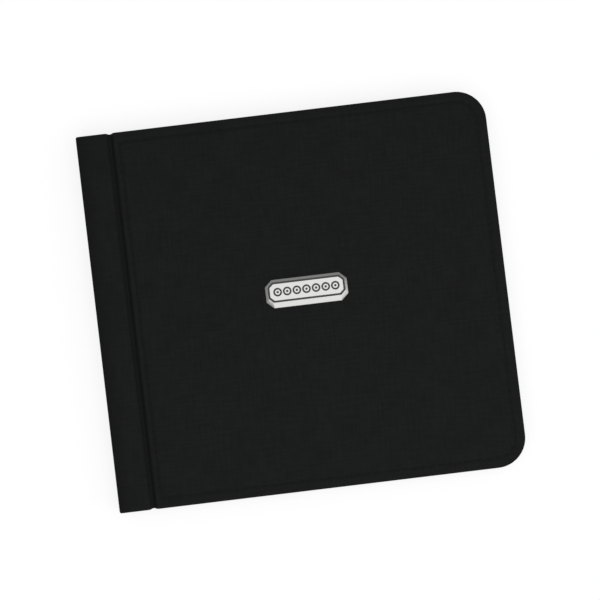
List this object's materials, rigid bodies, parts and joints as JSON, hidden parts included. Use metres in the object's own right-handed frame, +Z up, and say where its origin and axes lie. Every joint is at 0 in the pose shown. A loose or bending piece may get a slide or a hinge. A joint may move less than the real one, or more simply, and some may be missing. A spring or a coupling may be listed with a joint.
{
  "type": "coin album",
  "caption": "Flat side-bound coin album with black leather-cloth covers, a grooved spine strip, a small metal plate and clear pocket leaves that turn with the front cover.",
  "frame": {"origin": "centre of the footprint on the surface that the closed album lies on", "axes": "+X from the spine to the fore-edge, +Y to the head of the album, +Z up through the front cover"},
  "size_m": [0.2, 0.1844, 0.0154],
  "materials": {
    "leather_cloth": "black coated leather-cloth with a fine slubbed linen emboss, satin",
    "thread": "black sewing thread",
    "grey_board": "raw grey board",
    "lining_cloth": "black matt lining",
    "plated_metal": "nickel-plated die casting, bright satin",
    "rivet_steel": "plated steel",
    "clear_film": "clear soft vinyl film, 0.25 mm"
  },
  "bodies": {
    "binding": {"spine_skin": "leather_cloth", "spine_board": "grey_board", "front_strip_board": "grey_board", "rear_strip_board": "grey_board", "front_strip_lining": "lining_cloth", "rear_strip_lining": "lining_cloth", "binding_rivet_upper": "rivet_steel", "binding_rivet_middle": "rivet_steel", "binding_rivet_lower": "rivet_steel", "leaf_1_binding_tab": "clear_film", "leaf_2_binding_tab": "clear_film", "leaf_3_binding_tab": "clear_film", "leaf_4_binding_tab": "clear_film", "leaf_5_binding_tab": "clear_film", "leaf_6_binding_tab": "clear_film", "leaf_7_binding_tab": "clear_film", "leaf_8_binding_tab": "clear_film"},
    "front_cover": {"front_cover_skin": "leather_cloth", "front_cover_board": "grey_board", "front_cover_lining": "lining_cloth", "front_cover_stitching": "thread", "badge_plate": "plated_metal", "badge_clinch_plate": "rivet_steel"},
    "rear_cover": {"rear_cover_skin": "leather_cloth", "rear_cover_board": "grey_board", "rear_cover_lining": "lining_cloth", "rear_cover_stitching": "thread"},
    "leaf_1": {"leaf_1_front_film": "clear_film", "leaf_1_back_film": "clear_film"},
    "leaf_2": {"leaf_2_front_film": "clear_film", "leaf_2_back_film": "clear_film"},
    "leaf_3": {"leaf_3_front_film": "clear_film", "leaf_3_back_film": "clear_film"},
    "leaf_4": {"leaf_4_front_film": "clear_film", "leaf_4_back_film": "clear_film"},
    "leaf_5": {"leaf_5_front_film": "clear_film", "leaf_5_back_film": "clear_film"},
    "leaf_6": {"leaf_6_front_film": "clear_film", "leaf_6_back_film": "clear_film"},
    "leaf_7": {"leaf_7_front_film": "clear_film", "leaf_7_back_film": "clear_film"},
    "leaf_8": {"leaf_8_front_film": "clear_film", "leaf_8_back_film": "clear_film"}
  },
  "joints": [
    {"name": "front_cover_hinge", "type": "hinge", "parent": "binding", "child": "front_cover", "pos_m": [-0.08335, 0, 0.01455], "axis": [0, -1, 0], "range_deg": [0, 180]},
    {"name": "rear_cover_hinge", "type": "hinge", "parent": "binding", "child": "rear_cover", "pos_m": [-0.08335, 0, -0.0002], "axis": [0, 1, 0], "range_deg": [0, 180]},
    {"name": "leaf_1_fold", "type": "hinge", "parent": "binding", "child": "leaf_1", "pos_m": [-0.08335, 0, 0.01455], "axis": [0, -1, 0], "range_deg": [0, 180]},
    {"name": "leaf_2_fold", "type": "hinge", "parent": "binding", "child": "leaf_2", "pos_m": [-0.08335, 0, 0.01455], "axis": [0, -1, 0], "range_deg": [0, 180]},
    {"name": "leaf_3_fold", "type": "hinge", "parent": "binding", "child": "leaf_3", "pos_m": [-0.08335, 0, 0.01455], "axis": [0, -1, 0], "range_deg": [0, 180]},
    {"name": "leaf_4_fold", "type": "hinge", "parent": "binding", "child": "leaf_4", "pos_m": [-0.08335, 0, 0.01455], "axis": [0, -1, 0], "range_deg": [0, 180]},
    {"name": "leaf_5_fold", "type": "hinge", "parent": "binding", "child": "leaf_5", "pos_m": [-0.08335, 0, 0.01455], "axis": [0, -1, 0], "range_deg": [0, 180]},
    {"name": "leaf_6_fold", "type": "hinge", "parent": "binding", "child": "leaf_6", "pos_m": [-0.08335, 0, 0.01455], "axis": [0, -1, 0], "range_deg": [0, 180]},
    {"name": "leaf_7_fold", "type": "hinge", "parent": "binding", "child": "leaf_7", "pos_m": [-0.08335, 0, 0.01455], "axis": [0, -1, 0], "range_deg": [0, 180]},
    {"name": "leaf_8_fold", "type": "hinge", "parent": "binding", "child": "leaf_8", "pos_m": [-0.08335, 0, 0.01455], "axis": [0, -1, 0], "range_deg": [0, 180]}
  ],
  "couplings": [
    {"joint": "leaf_1_fold", "follows": "front_cover_hinge", "ratio": 0.985},
    {"joint": "leaf_2_fold", "follows": "front_cover_hinge", "ratio": 0.97},
    {"joint": "leaf_3_fold", "follows": "front_cover_hinge", "ratio": 0.955},
    {"joint": "leaf_4_fold", "follows": "front_cover_hinge", "ratio": 0.94},
    {"joint": "leaf_5_fold", "follows": "front_cover_hinge", "ratio": 0.925},
    {"joint": "leaf_6_fold", "follows": "front_cover_hinge", "ratio": 0.91},
    {"joint": "leaf_7_fold", "follows": "front_cover_hinge", "ratio": 0.895},
    {"joint": "leaf_8_fold", "follows": "front_cover_hinge", "ratio": 0.88}
  ]
}
